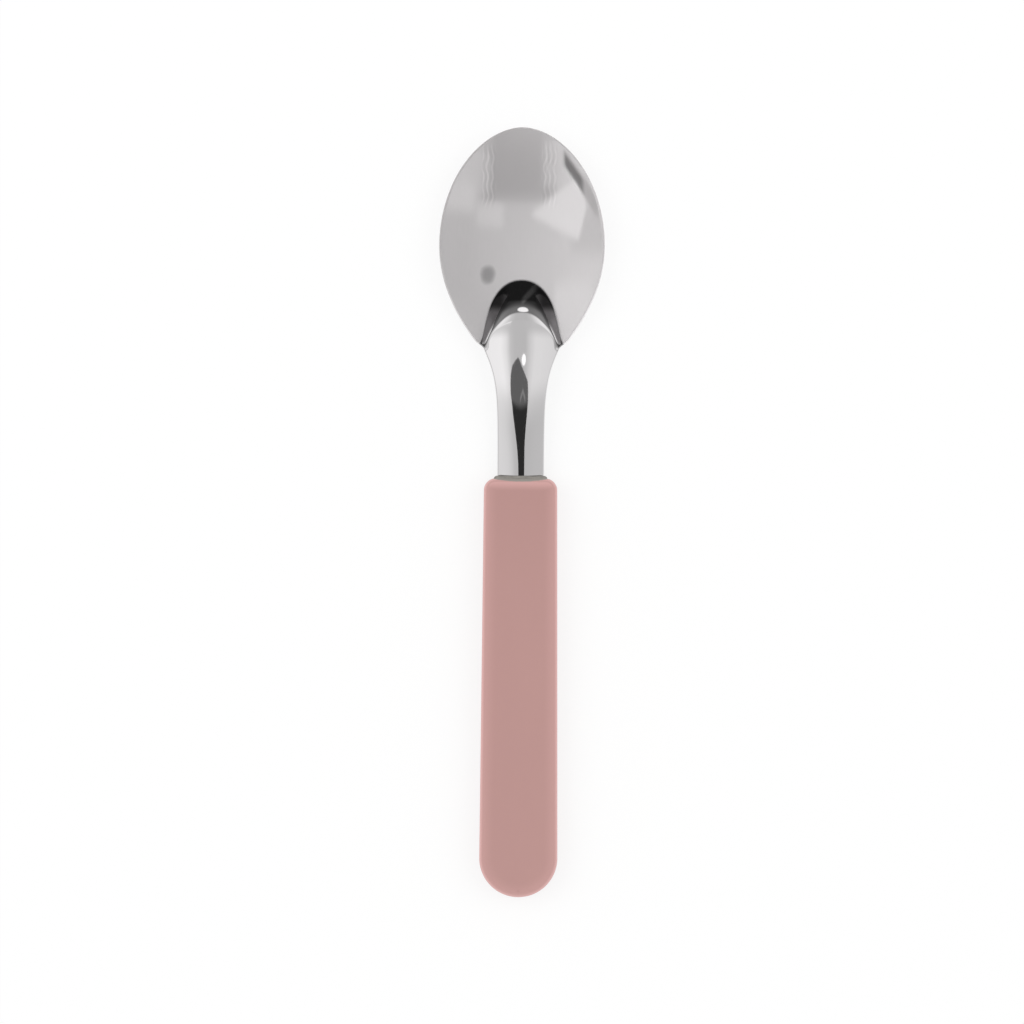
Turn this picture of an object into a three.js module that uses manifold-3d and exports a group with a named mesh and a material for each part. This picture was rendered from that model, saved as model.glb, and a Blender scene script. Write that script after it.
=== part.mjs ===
// A teaspoon with a stamped steel head, whose tang is set with resin in a moulded plastic handle.
// Millimetres. The spoon lies on its back at z = 0, its tip points along +Y and its bowl opens up +Z.
// The origin is under the middle of the spoon.

import * as THREE from 'three';
import { mergeVertices } from 'three/addons/utils/BufferGeometryUtils.js';
import Module from 'manifold-3d';

const wasm = await Module();
wasm.setup();

// Lengths along the spoon.
const handleLength = 77.2;
const neckLength = 24.6;
const bowlLength = 40.2;

// The steel sheet that the head is stamped from.
const sheetThickness = 1;

// The bowl, from its two rear corners to its tip. The rises are heights over its lowest point.
const bowlWidth = 30.6;
const bowlCornerWidth = 16;
const bowlWidestFromTip = 21.9;
const bowlLowestFromCorners = 18;
const bowlSideRise = 3.4;
const bowlTipRise = 3.6;
const bowlCornerRise = 1.3;
const bowlTipRoundness = 0.54;

// The neck, an arch like a low roof that climbs from the handle to a crest and flares to the bowl.
const neckWidth = 8.66;
const neckRootWidth = 14.4;
const neckFlareLength = 5;
const neckFlareSharpness = 1.3;
const neckRise = 2.3;
const crestFromMouth = 23.7;
const straightClimbShare = 0.6;
const mouthFlankSlope = 0.42;
const crestFlankSlope = 0.55;
const mouthRidgeRadius = 1.3;
const crestRidgeRadius = 6;

// The step down from the neck into the bowl: its upper edge is a tongue, and its foot lies round it.
const tongueWidth = 12;
const tongueLength = 4.3;
const stepFootWidth = 14;
const stepFootLength = 12.3;
const stepFootFlare = 0.95;
const stepFootFlareRun = 1.3;
const stepFootSquareness = 2.2;
const cornerRun = 1.35;
const cornerFall = 1.6;
const crestRoundShare = 0.68;
const footRoundShare = 0.05;

// The tang inside the handle, and the shoulder where it rises into the neck's arch.
const tangLength = 58;
const tangWidth = 6.6;
const shoulderLength = 8;
const archOverTang = 0.4;
const keyHoleRadius = 1.5;
const firstKeyHoleFromMouth = 20;
const lastKeyHoleFromTangEnd = 12;

// The handle, a flat bar that widens a little towards its round end.
const handleMouthWidth = 13.5;
const handleEndWidth = 14.5;
const handleThickness = 5.5;
const handleCornerRadius = 2.2;
const handleEdgeRadius = 1.1;

// The resin round the tang, and its bead in front of the handle's mouth.
const slotClearance = 0.6;
const slotEndClearance = 1;
const beadLength = 0.5;
const archClearance = 0.3;
const pegClearance = 0.3;

// How far cutting solids run past what they cut.
const overrun = 1;

// How finely the head is divided.
const headColumns = 32;
const archColumns = 12;
const shoulderRows = 4;
const neckRows = 5;
const flareRows = 6;
const stepRows = 28;
const floorRows = 3;
const tipRows = 13;
const outlineSegments = 8;
const edgeSegments = 4;
const holeSegments = 20;

// Places along Y and Z that the sizes above lead to.
const rearY = -(handleLength + neckLength + bowlLength) / 2;
const mouthY = rearY + handleLength;
const cornerY = mouthY + neckLength;
const tipY = cornerY + bowlLength;
const widestY = tipY - bowlWidestFromTip;
const lowestY = cornerY + bowlLowestFromCorners;
const shoulderY = mouthY - shoulderLength;
const tangRearY = mouthY - tangLength;
const keyHolesFromMouth = [firstKeyHoleFromMouth, tangLength - lastKeyHoleFromTangEnd];
const tangBottom = (handleThickness - sheetThickness) / 2;
const tangTop = tangBottom + sheetThickness;
const ridgeAtMouth = tangTop + archOverTang;
const climbSlope = (2 / (1 + straightClimbShare)) * (neckRise / crestFromMouth);

const clamp = (value) => Math.min(1, Math.max(0, value));
const ease = (value) => clamp(value) ** 2 * (3 - 2 * clamp(value));
const mix = (from, to, share) => from + (to - from) * share;

// Half the width of the bowl: a parabola up to the widest row, then a rounded tip.
function bowlHalf(y) {
  const widest = bowlWidth / 2;
  if (y < widestY) {
    const share = (widestY - y) / (widestY - cornerY);
    return widest - (widest - bowlCornerWidth / 2) * share ** 2;
  }
  return widest * (1 - clamp((y - widestY) / bowlWidestFromTip) ** 2) ** bowlTipRoundness;
}

// Half the width of the neck, which flares out in front, and of the tang behind the shoulder.
function neckHalf(y) {
  if (y < mouthY) {
    return mix(tangWidth, neckWidth, ease((y - shoulderY) / shoulderLength)) / 2;
  }
  const back = Math.max(0, cornerY - y) / neckFlareLength;
  return mix(neckWidth, neckRootWidth, Math.exp(-(back ** neckFlareSharpness))) / 2;
}

// Half the width of the whole head. The two outlines meet in a short slanted cut at the corners.
function headHalf(y) {
  const share = ease((y - cornerY) / cornerRun + 1 / 2);
  return mix(neckHalf(y), bowlHalf(y), share);
}

// Height of the ridge: level in the tang, a bend in the shoulder, a straight climb, then a round crest.
function ridgeHeight(y) {
  if (y <= shoulderY) {
    return tangTop;
  }
  if (y < mouthY) {
    const share = (y - shoulderY) / shoulderLength;
    const bend = climbSlope * shoulderLength * (share ** 3 - share ** 2);
    return mix(tangTop, ridgeAtMouth, ease(share)) + bend;
  }
  const straight = crestFromMouth * straightClimbShare;
  const past = Math.max(0, y - mouthY - straight);
  return ridgeAtMouth + climbSlope * (y - mouthY - past ** 2 / (2 * (crestFromMouth - straight)));
}

// Top of the neck: two flanks that fall away from a rounded ridge. Both soften towards the crest.
function neckTop(x, y) {
  const share = clamp((y - mouthY) / crestFromMouth) ** 2;
  const arch = ease((y - shoulderY) / shoulderLength);
  const slope = arch * mix(mouthFlankSlope, crestFlankSlope, share);
  const radius = mix(mouthRidgeRadius, crestRidgeRadius, share);
  return ridgeHeight(y) - slope * (Math.hypot(x, radius) - radius);
}

// Top of the bowl: a parabola across and a cubic along, with its lowest point on the sheet's thickness.
function bowlTop(x, y) {
  const toTip = bowlLength - bowlLowestFromCorners;
  const tipBend = bowlTipRise / toTip ** 2;
  const cornerBend = bowlCornerRise / bowlLowestFromCorners ** 2;
  const lopsided = (tipBend - cornerBend) / bowlLength;
  const along = y - lowestY;
  const bend = cornerBend + lopsided * (along + bowlLowestFromCorners);
  return sheetThickness + bowlSideRise * (x / (bowlWidth / 2)) ** 2 + bend * along ** 2;
}

// How far down the step a point is, from 0 on the tongue to 1 at the foot. Both edges are ovals round
// the middle of the corner line, and the share grows evenly on each ray from there. Behind the corner
// line it fades out.
function stepShare(x, y) {
  const ahead = Math.max(0, y - cornerY);
  const fade = ease((y - cornerY) / cornerFall + 1);
  const footHalf = stepFootWidth / 2 + stepFootFlare * Math.exp(-ahead / stepFootFlareRun);
  const across = (Math.abs(x) / footHalf) ** stepFootSquareness;
  const along = (ahead / stepFootLength) ** stepFootSquareness;
  const onTongue = Math.hypot(x / (tongueWidth / 2), ahead / tongueLength);
  const onFoot = (across + along) ** (1 / stepFootSquareness);
  if (onTongue <= 1) {
    return 0;
  }
  if (onFoot >= 1) {
    return fade;
  }
  return fade * onFoot * (onTongue - 1) / (onTongue - onFoot);
}

// The fall of the step: it steepens over the crest, runs straight, and levels out in a tight foot.
function stepFall(share) {
  const steepest = 1 / (1 - (crestRoundShare + footRoundShare) / 2);
  if (share < crestRoundShare) {
    return steepest * share ** 2 / (2 * crestRoundShare);
  }
  const left = Math.max(0, share - 1 + footRoundShare);
  return steepest * (share - crestRoundShare / 2 - left ** 2 / (2 * footRoundShare));
}

function headTop(x, y) {
  return mix(neckTop(x, y), bowlTop(x, y), stepFall(stepShare(x, y)));
}

// The underside lies one sheet thickness below the top, measured square to the mean slope nearby.
function headBottom(x, y) {
  if (y <= shoulderY) {
    return headTop(x, y) - sheetThickness;
  }
  const reach = sheetThickness / 2;
  const fallX = headTop(x + reach, y) - headTop(x - reach, y);
  const fallY = headTop(x, y + reach) - headTop(x, y - reach);
  return headTop(x, y) - Math.hypot(sheetThickness, fallX, fallY);
}

// Evenly spaced places after one end and up to the other.
function spaced(from, to, count) {
  return Array.from({ length: count }, (_, step) => mix(from, to, (step + 1) / count));
}

function asManifold(vertProperties, triVerts) {
  const mesh = new wasm.Mesh({
    numProp: 3,
    vertProperties: new Float32Array(vertProperties),
    triVerts: new Uint32Array(triVerts),
  });
  return new wasm.Manifold(mesh);
}

function solidFrom(geometry) {
  geometry.deleteAttribute('normal');
  geometry.deleteAttribute('uv');
  const merged = mergeVertices(geometry);
  return asManifold(merged.attributes.position.array, merged.index.array);
}

function geometryFrom(solid) {
  const { vertProperties, triVerts } = solid.getMesh();
  const geometry = new THREE.BufferGeometry();
  geometry.setAttribute('position', new THREE.BufferAttribute(vertProperties, 3));
  geometry.setIndex(new THREE.BufferAttribute(triVerts, 1));
  geometry.computeVertexNormals();
  return geometry;
}

function boxSolid(width, fromY, toY, fromZ, toZ) {
  const geometry = new THREE.BoxGeometry(width, toY - fromY, toZ - fromZ);
  geometry.translate(0, (fromY + toY) / 2, (fromZ + toZ) / 2);
  return solidFrom(geometry);
}

function pinSolid(radius, y, fromZ, toZ) {
  const geometry = new THREE.CylinderGeometry(radius, radius, toZ - fromZ, holeSegments);
  geometry.rotateX(Math.PI / 2);
  geometry.translate(0, y, (fromZ + toZ) / 2);
  return solidFrom(geometry);
}

// A closed plate between two surfaces, over rows along Y. A row of no width is a single point.
function plateSolid(rows, columns, halfWidth, top, bottom) {
  const points = [];
  const triangles = [];
  const sheets = [top, bottom].map((height) => rows.map((y) => {
    const half = halfWidth(y);
    const across = half > 0 ? spaced(-half, half, columns) : [];
    return [-half, ...across].map((x) => points.push(x, y, height(x, y)) / 3 - 1);
  }));
  const face = (a, b, c, d) => {
    for (const corners of [[a, b, c], [a, c, d]]) {
      if (new Set(corners).size === corners.length) {
        triangles.push(...corners);
      }
    }
  };
  const at = (sheet, row, column) => {
    const places = sheets[sheet][row];
    return places[Math.min(column, places.length - 1)];
  };
  const last = rows.length - 1;
  for (let row = 0; row < last; row += 1) {
    for (let column = 0; column < columns; column += 1) {
      const ring = [[row, column], [row, column + 1], [row + 1, column + 1], [row + 1, column]];
      const turned = column < columns / 2 ? ring : [...ring.slice(1), ring[0]];
      face(...turned.map(([r, c]) => at(0, r, c)));
      face(...turned.map(([r, c]) => at(1, r, c)).reverse());
    }
    face(at(0, row, 0), at(0, row + 1, 0), at(1, row + 1, 0), at(1, row, 0));
    face(at(0, row + 1, columns), at(0, row, columns), at(1, row, columns), at(1, row + 1, columns));
  }
  for (let column = 0; column < columns; column += 1) {
    face(at(0, 0, column), at(1, 0, column), at(1, 0, column + 1), at(0, 0, column + 1));
    face(at(0, last, column + 1), at(1, last, column + 1), at(1, last, column), at(0, last, column));
  }
  return asManifold(points, triangles);
}

// The stamped head, with its tang's key holes punched through.
function spoonHead() {
  const flareY = cornerY - 2 * neckFlareLength;
  const stepRearY = cornerY - cornerFall;
  const stepFrontY = cornerY + stepFootLength + cornerRun / 2;
  const turns = spaced(0, Math.PI / 2, tipRows);
  const rows = [
    tangRearY,
    shoulderY,
    ...spaced(shoulderY, mouthY, shoulderRows),
    ...spaced(mouthY, flareY, neckRows),
    ...spaced(flareY, stepRearY, flareRows),
    ...spaced(stepRearY, stepFrontY, stepRows),
    ...spaced(stepFrontY, widestY, floorRows),
    ...turns.slice(0, -1).map((turn) => widestY + bowlWidestFromTip * Math.sin(turn)),
    tipY,
  ];
  const half = (y) => (y < tipY ? headHalf(y) : 0);
  const plate = plateSolid(rows, headColumns, half, headTop, headBottom);
  return keyHolesFromMouth.reduce(
    (head, back) => head.subtract(
      pinSolid(keyHoleRadius, mouthY - back, tangBottom - overrun, tangTop + overrun),
    ),
    plate,
  );
}

// The slot in the handle clears the neck's arch where it passes the mouth.
const slotWidth = neckWidth + 2 * slotClearance;
const slotRearY = tangRearY - slotEndClearance;
const slotTop = ridgeAtMouth + slotClearance;
const slotBottom = headBottom(neckWidth / 2, mouthY) - slotClearance;

function handle() {
  const mouthHalf = handleMouthWidth / 2;
  const endHalf = handleEndWidth / 2;
  const corner = handleCornerRadius;
  const outline = new THREE.Shape();
  outline.absarc(0, rearY + endHalf, endHalf, -Math.PI, 0);
  outline.absarc(mouthHalf - corner, mouthY - corner, corner, 0, Math.PI / 2);
  outline.absarc(corner - mouthHalf, mouthY - corner, corner, Math.PI / 2, Math.PI);
  outline.closePath();
  const body = new THREE.ExtrudeGeometry(outline, {
    depth: handleThickness - 2 * handleEdgeRadius,
    bevelThickness: handleEdgeRadius,
    bevelSize: handleEdgeRadius,
    bevelOffset: -handleEdgeRadius,
    bevelSegments: edgeSegments,
    curveSegments: outlineSegments,
  });
  body.translate(0, 0, handleEdgeRadius);
  return solidFrom(body).subtract(
    boxSolid(slotWidth, slotRearY, mouthY + overrun, slotBottom, slotTop),
  );
}

// Resin fills the slot, grips the flat tang, and keys through its holes with one peg each.
function tangResin() {
  const block = boxSolid(slotWidth, slotRearY, mouthY + beadLength, slotBottom, slotTop);
  const tang = boxSolid(tangWidth, tangRearY, shoulderY + overrun, tangBottom, tangTop);
  const archRows = [shoulderY, ...spaced(shoulderY, mouthY + overrun, shoulderRows)];
  const arch = plateSolid(
    archRows,
    archColumns,
    (y) => headHalf(y) + archClearance,
    (x, y) => headTop(x, y) + archClearance,
    (x, y) => headBottom(x, y) - archClearance,
  );
  return keyHolesFromMouth.reduce(
    (resin, back) => resin.add(
      pinSolid(keyHoleRadius - pegClearance, mouthY - back, slotBottom, slotTop),
    ),
    block.subtract(tang).subtract(arch),
  );
}

const polishedSteel = new THREE.MeshStandardMaterial({ color: 0xc9c6c7, roughness: 0.15, metalness: 1 });
const pinkPlastic = new THREE.MeshStandardMaterial({ color: 0xbd9591, roughness: 0.45, metalness: 0 });
const greyResin = new THREE.MeshStandardMaterial({ color: 0x8f8d84, roughness: 0.5, metalness: 0 });

function piece(name, solid, material) {
  const mesh = new THREE.Mesh(geometryFrom(solid), material);
  mesh.name = name;
  return mesh;
}

const group = new THREE.Group();
group.add(piece('spoon_head', spoonHead(), polishedSteel));
group.add(piece('handle', handle(), pinkPlastic));
group.add(piece('tang_resin', tangResin(), greyResin));

export default group;
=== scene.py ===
import math

import bpy
import numpy as np
from bpy.props import FloatProperty, FloatVectorProperty, PointerProperty
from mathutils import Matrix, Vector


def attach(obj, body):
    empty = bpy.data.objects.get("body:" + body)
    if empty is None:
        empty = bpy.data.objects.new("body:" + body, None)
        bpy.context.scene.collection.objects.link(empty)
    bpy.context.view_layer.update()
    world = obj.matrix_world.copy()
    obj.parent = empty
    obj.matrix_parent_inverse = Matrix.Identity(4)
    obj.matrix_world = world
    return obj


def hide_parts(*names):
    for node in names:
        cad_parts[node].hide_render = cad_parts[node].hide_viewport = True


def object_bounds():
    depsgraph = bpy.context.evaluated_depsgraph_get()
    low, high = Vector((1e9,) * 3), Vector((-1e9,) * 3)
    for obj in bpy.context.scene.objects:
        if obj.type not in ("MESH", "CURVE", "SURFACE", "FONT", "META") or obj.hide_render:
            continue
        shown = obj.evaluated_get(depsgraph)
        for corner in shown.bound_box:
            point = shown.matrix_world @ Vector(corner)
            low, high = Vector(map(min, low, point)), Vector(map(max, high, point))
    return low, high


bl_info = {
    "name": "Teaspoon with a moulded handle",
    "version": (1, 0, 0),
    "blender": (4, 5, 0),
    "location": "3D View > Sidebar > Teaspoon",
    "description": "Builds a teaspoon: a stamped steel head set with resin in a moulded plastic handle",
    "category": "Object",
}

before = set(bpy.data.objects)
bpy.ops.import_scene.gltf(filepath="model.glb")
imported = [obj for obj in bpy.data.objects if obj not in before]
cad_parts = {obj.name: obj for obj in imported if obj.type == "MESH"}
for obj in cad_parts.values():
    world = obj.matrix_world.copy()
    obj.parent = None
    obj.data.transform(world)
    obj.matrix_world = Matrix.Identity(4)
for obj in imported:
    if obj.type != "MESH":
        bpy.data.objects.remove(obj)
CAD_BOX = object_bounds()
FLOOR_HEIGHT = float(CAD_BOX[0][2])


def length(name, millimetres, description):
    """A size property in metres, from a size in millimetres."""
    return FloatProperty(
        name=name,
        description=description,
        default=millimetres / 1000,
        precision=5,
        subtype="DISTANCE",
        unit="LENGTH",
    )


def share(name, value, description):
    """A property that runs from 0 to 1."""
    return FloatProperty(name=name, description=description, default=value, min=0, max=1, subtype="FACTOR")


def number(name, value, description):
    """A plain number."""
    return FloatProperty(name=name, description=description, default=value)


def colour(name, value, description):
    """A colour in linear light."""
    return FloatVectorProperty(
        name=name, description=description, default=value, size=3, min=0, max=1, subtype="COLOR"
    )


class HeadSizes(bpy.types.PropertyGroup):
    """The steel head: tang, neck, step and bowl."""

    neck_length: length("Neck length", 24.6, "From the handle's mouth to the rear corners of the bowl")
    bowl_length: length("Bowl length", 40.2, "From the rear corners of the bowl to its tip")
    sheet_thickness: length("Sheet thickness", 1, "Thickness of the steel")
    bowl_width: length("Bowl width", 30.6, "Width of the bowl where it is widest")
    bowl_corner_width: length("Bowl corner width", 16, "Width of the bowl at its rear corners")
    bowl_widest_from_tip: length("Widest row from tip", 21.9, "How far the widest row is from the tip")
    bowl_lowest_from_corners: length("Lowest row", 18, "How far the lowest row is from the rear corners")
    bowl_side_rise: length("Side rise", 3.4, "How far the sides rise over the lowest point")
    bowl_tip_rise: length("Tip rise", 3.6, "How far the tip rises over the lowest point")
    bowl_corner_rise: length("Corner rise", 1.3, "How far the bowl rises towards its rear corners")
    tip_roundness: number("Tip roundness", 0.54, "Power of the tip's curve; 0.5 is an ellipse")
    neck_width: length("Neck width", 8.66, "Width of the neck behind its flare")
    neck_root_width: length("Neck root width", 14.4, "Width of the neck at the corners of the bowl")
    flare_length: length("Flare length", 5, "How far back the flare reaches")
    flare_sharpness: number("Flare sharpness", 1.3, "How suddenly the neck flares")
    neck_rise: length("Neck rise", 2.3, "How far the ridge climbs from the mouth to the crest")
    crest_from_mouth: length("Crest from mouth", 23.7, "How far the crest is from the handle's mouth")
    straight_share: share("Straight share", 0.6, "Share of the climb that is straight")
    mouth_slope: number("Mouth flank slope", 0.42, "Slope of the neck's flanks at the mouth")
    crest_slope: number("Crest flank slope", 0.55, "Slope of the neck's flanks at the crest")
    mouth_radius: length("Mouth ridge radius", 1.3, "How round the ridge is at the mouth")
    crest_radius: length("Crest ridge radius", 6, "How round the ridge is at the crest")
    tongue_width: length("Tongue width", 12, "Width of the tongue that the step falls from")
    tongue_length: length("Tongue length", 4.3, "Length of the tongue past the corners of the bowl")
    foot_width: length("Step foot width", 14, "Width of the foot of the step in front of its flare")
    foot_length: length("Step foot length", 12.3, "How far the foot of the step reaches into the bowl")
    foot_flare: length("Step foot flare", 0.95, "How far the foot flares out on each side at the corners")
    foot_flare_run: length("Step foot flare run", 1.3, "How far forward the foot's flare reaches")
    foot_squareness: number("Step foot squareness", 2.2, "Power of the foot's curve; 2 is an ellipse")
    corner_run: length("Corner run", 1.35, "Length of the slanted cut at each corner of the bowl")
    corner_fall: length("Corner fall", 1.6, "Length of the drop behind each corner of the bowl")
    crest_round: share("Crest rounding", 0.68, "Share of the step that bends over the crest")
    foot_round: share("Foot rounding", 0.05, "Share of the step that bends into the bowl")
    tang_length: length("Tang length", 58, "How far the tang reaches into the handle")
    tang_width: length("Tang width", 6.6, "Width of the tang")
    shoulder_length: length("Shoulder length", 8, "Length of the bend from the tang into the neck")
    arch_over_tang: length("Arch over tang", 0.4, "Height of the ridge over the tang at the mouth")
    rim_radius: length("Rim radius", 0.25, "How far the round edge reaches in from the outline")


class HandleSizes(bpy.types.PropertyGroup):
    """The moulded handle and the slot for the tang."""

    length: length("Length", 77.2, "Length of the handle")
    mouth_width: length("Mouth width", 13.5, "Width at the mouth")
    end_width: length("End width", 14.5, "Width at the round end")
    thickness: length("Thickness", 5.5, "Thickness of the handle")
    corner_radius: length("Corner radius", 2.2, "Radius of the two corners at the mouth")
    edge_radius: length("Edge radius", 1.1, "Radius of the long edges")
    slot_clearance: length("Slot clearance", 0.6, "Resin on each side of the neck in the slot")
    slot_end_clearance: length("Slot end clearance", 1, "Resin behind the tang")
    bead_length: length("Bead length", 0.5, "How far the resin stands out of the mouth")


class Finishes(bpy.types.PropertyGroup):
    """Colours and gloss."""

    steel: colour("Steel", (0.80, 0.785, 0.79), "Colour of the polished steel")
    soft_steel: colour("Softly polished steel", (0.93, 0.9, 0.906), "Colour of the softly polished bowl")
    neck_roughness: share("Neck roughness", 0.06, "Roughness of the neck's mirror polish")
    bowl_roughness: share("Bowl roughness", 0.5, "Roughness of the bowl's soft polish")
    bowl_mirror: share("Bowl mirror", 0.33, "Share of the bowl's light that mirrors sharply")
    plastic: colour("Plastic", (0.515, 0.292, 0.271), "Colour of the dusty pink plastic")
    # Painted highlight: a lighter pink laid on the handle's rounded edges, beside its sides and behind its
    # mouth.
    edge_highlight_plastic: colour("Pale plastic", (0.76, 0.44, 0.42), "Colour of the plastic at its thin edges")
    plastic_roughness: share("Plastic roughness", 0.42, "Roughness of the handle")
    resin: colour("Resin", (0.34, 0.32, 0.29), "Colour of the grey resin")
    # Painted shade: a dark steel colour laid on the step's wall, standing in for the dark room it mirrors.
    wall_shade_steel: colour("Raw steel", (0.165, 0.16, 0.165), "Colour of the unpolished wall of the step")


class StageSettings(bpy.types.PropertyGroup):
    """Camera, lamps and floor."""

    frame_width: length("Frame width", 188.84, "Width of the picture at the height of the spoon")
    focal_length: number("Focal length", 200, "Focal length of the camera in millimetres")
    sideways: length("Sideways", 1.55, "How far the camera stands to the left of the spoon's middle")
    roll: FloatProperty(
        name="Roll",
        description="Turn of the camera about its own axis",
        default=math.radians(0.35),
        subtype="ANGLE",
    )
    world_strength: number("World strength", 0.74, "Light from all round")
    lamp_power: number("Lamp power", 6, "Power of each soft lamp in watts")
    dome_radius: length("Dome radius", 3000, "Radius of the painted studio that the steel mirrors")


class TeaspoonSettings(bpy.types.PropertyGroup):
    """Everything that can be set on the teaspoon."""

    head: PointerProperty(type=HeadSizes)
    handle: PointerProperty(type=HandleSizes)
    finishes: PointerProperty(type=Finishes)
    stage: PointerProperty(type=StageSettings)


class Socket:
    """An output socket. Arithmetic with numbers and other sockets adds Math nodes."""

    def __init__(self, tree, socket):
        self.tree = tree
        self.socket = socket

    def __add__(self, other):
        return self.tree.math("ADD", self, other)

    def __radd__(self, other):
        return self.tree.math("ADD", other, self)

    def __sub__(self, other):
        return self.tree.math("SUBTRACT", self, other)

    def __rsub__(self, other):
        return self.tree.math("SUBTRACT", other, self)

    def __mul__(self, other):
        return self.tree.math("MULTIPLY", self, other)

    def __rmul__(self, other):
        return self.tree.math("MULTIPLY", other, self)

    def __truediv__(self, other):
        return self.tree.math("DIVIDE", self, other)

    def __rtruediv__(self, other):
        return self.tree.math("DIVIDE", other, self)

    def __pow__(self, other):
        return self.tree.math("POWER", self, other)

    def __abs__(self):
        return self.tree.math("ABSOLUTE", self)

    def __lt__(self, other):
        return self.tree.math("LESS_THAN", self, other)

    def sine(self):
        return self.tree.math("SINE", self)

    def at_most(self, limit):
        return self.tree.math("MINIMUM", self, limit)

    def at_least(self, limit):
        return self.tree.math("MAXIMUM", self, limit)

    def smooth(self, start, end):
        """0 at start and 1 at end, with a soft passage between them."""
        if start > end:
            return 1 - self.smooth(end, start)
        settings = {"interpolation_type": "SMOOTHSTEP"}
        sockets = {"Value": self, "From Min": start, "From Max": end}
        return self.tree.add("ShaderNodeMapRange", settings, sockets)


class Tree:
    """A node tree. add() makes a node, then sets it up and fills or links its sockets."""

    def __init__(self, tree):
        self.tree = tree

    def add(self, kind, settings=None, sockets=None, take=None):
        node = self.tree.nodes.new(kind)
        for name, value in (settings or {}).items():
            if name == "stops":
                self.set_stops(node.color_ramp, value)
            else:
                setattr(node, name, value)
        for key, value in (sockets or {}).items():
            target = self.find(node.inputs, key)
            for source in value if isinstance(value, list) else [value]:
                if isinstance(source, Socket):
                    self.tree.links.new(source.socket, target)
                else:
                    target.default_value = source
        if isinstance(take, tuple):
            return [Socket(self, self.find(node.outputs, key)) for key in take]
        if not any(output.enabled for output in node.outputs):
            return node
        return Socket(self, self.find(node.outputs, take))

    def find(self, sockets, key):
        if isinstance(key, int):
            return sockets[key]
        return next(socket for socket in sockets if socket.enabled and key in (None, socket.name))

    def set_stops(self, ramp, stops):
        while len(ramp.elements) < len(stops):
            ramp.elements.new(0.5)
        for element, (position, value) in zip(ramp.elements, stops):
            element.position = position
            element.color = (*value, 1)

    def math(self, operation, *values):
        return self.add("ShaderNodeMath", {"operation": operation}, dict(enumerate(values)))

    def split(self, vector):
        """The three parts of a vector."""
        return self.add("ShaderNodeSeparateXYZ", {}, {0: vector}, ("X", "Y", "Z"))

    def place(self):
        """The place on the piece, in metres."""
        return self.add("ShaderNodeTexCoord", take="Object")

    def mix(self, mask, low, high):
        """A colour between low and high."""
        sockets = {"Factor": mask, "A": self.with_alpha(low), "B": self.with_alpha(high)}
        return self.add("ShaderNodeMix", {"data_type": "RGBA"}, sockets)

    def with_alpha(self, value):
        return value if isinstance(value, Socket) else (*value, 1)

    def noise(self, coordinates, stretch, detail=2, roughness=0.5):
        """Noise from 0 to 1 on coordinates that are multiplied by stretch."""
        mapped = self.add("ShaderNodeMapping", {}, {"Vector": coordinates, "Scale": stretch})
        sockets = {"Vector": mapped, "Scale": 1, "Detail": detail, "Roughness": roughness}
        return self.add("ShaderNodeTexNoise", {}, sockets)

    def levels(self, coordinate, reach, *stops):
        """A grey that changes along a coordinate from -reach to reach, from its values at some places."""
        brightest = 2
        settings = {"stops": [((place / reach + 1) / 2, (level / brightest,) * 3) for place, level in stops]}
        sockets = {"Fac": coordinate / (2 * reach) + 0.5}
        return self.add("ShaderNodeValToRGB", settings, sockets, "Color") * brightest

    def glow(self, tone):
        """A surface that looks as bright as its tone, whatever lights it."""
        return self.add("ShaderNodeEmission", {}, {"Color": tone})


def new_material(name):
    """A material with an empty tree, and the tree."""
    material = bpy.data.materials.new(name)
    material.use_nodes = True
    material.node_tree.nodes.clear()
    return material, Tree(material.node_tree)


def finish_material(tree, surface):
    tree.add("ShaderNodeOutputMaterial", {}, {"Surface": surface})


def glowing_material(name):
    """A material for the stage whose glow isn't taken for a lamp, and its tree."""
    material, tree = new_material(name)
    material.cycles.emission_sampling = "NONE"
    return material, tree


def shaded(value, factor):
    """A colour made darker or lighter."""
    return tuple(channel * factor for channel in value)


# In the materials, east is how far a place lies to the right of the spoon's middle line, and north how far it
# lies ahead of the middle of its length, both in metres.


def painted_wall_shade(tree, finishes, polished, step, cloud):
    """Painted shade on the step's wall: darker in front, darkest on its arms there, with a painted pale
    reflection.
    """
    front_shade, arm_shade = 0.3636, 0.1212
    pale_reflection_north, waver = 0.0389, 0.001
    east, north, _ = tree.split(tree.place())
    # Painted shade: the wall of the step takes a dark steel colour, darker in front and darkest on the arms.
    wall = step.smooth(0.28, 0.5) * step.smooth(1, 0.985)
    in_front = north.smooth(0.0366, 0.0384)
    arms = in_front * abs(east).smooth(0.002, 0.0042)
    painted_wall_dark = tree.mix(in_front, finishes.wall_shade_steel, shaded(finishes.wall_shade_steel, front_shade))
    painted_wall_dark = tree.mix(arms, painted_wall_dark, shaded(finishes.wall_shade_steel, arm_shade))
    # A painted pale reflection: a light line across the dark wall, where less painted shade is laid.
    from_pale_reflection = abs(north - east - pale_reflection_north + (cloud - 0.5) * waver)
    pale_reflection = from_pale_reflection.smooth(0.0011, 0.0002) * (cloud + 0.4)
    pale_reflection = pale_reflection * east.smooth(-0.0004, 0.0006) * east.smooth(0.0034, 0.0016)
    cover = arms * 0.12 + 0.85
    return tree.mix(wall * cover * (1 - pale_reflection * 0.8), polished, painted_wall_dark)


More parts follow.
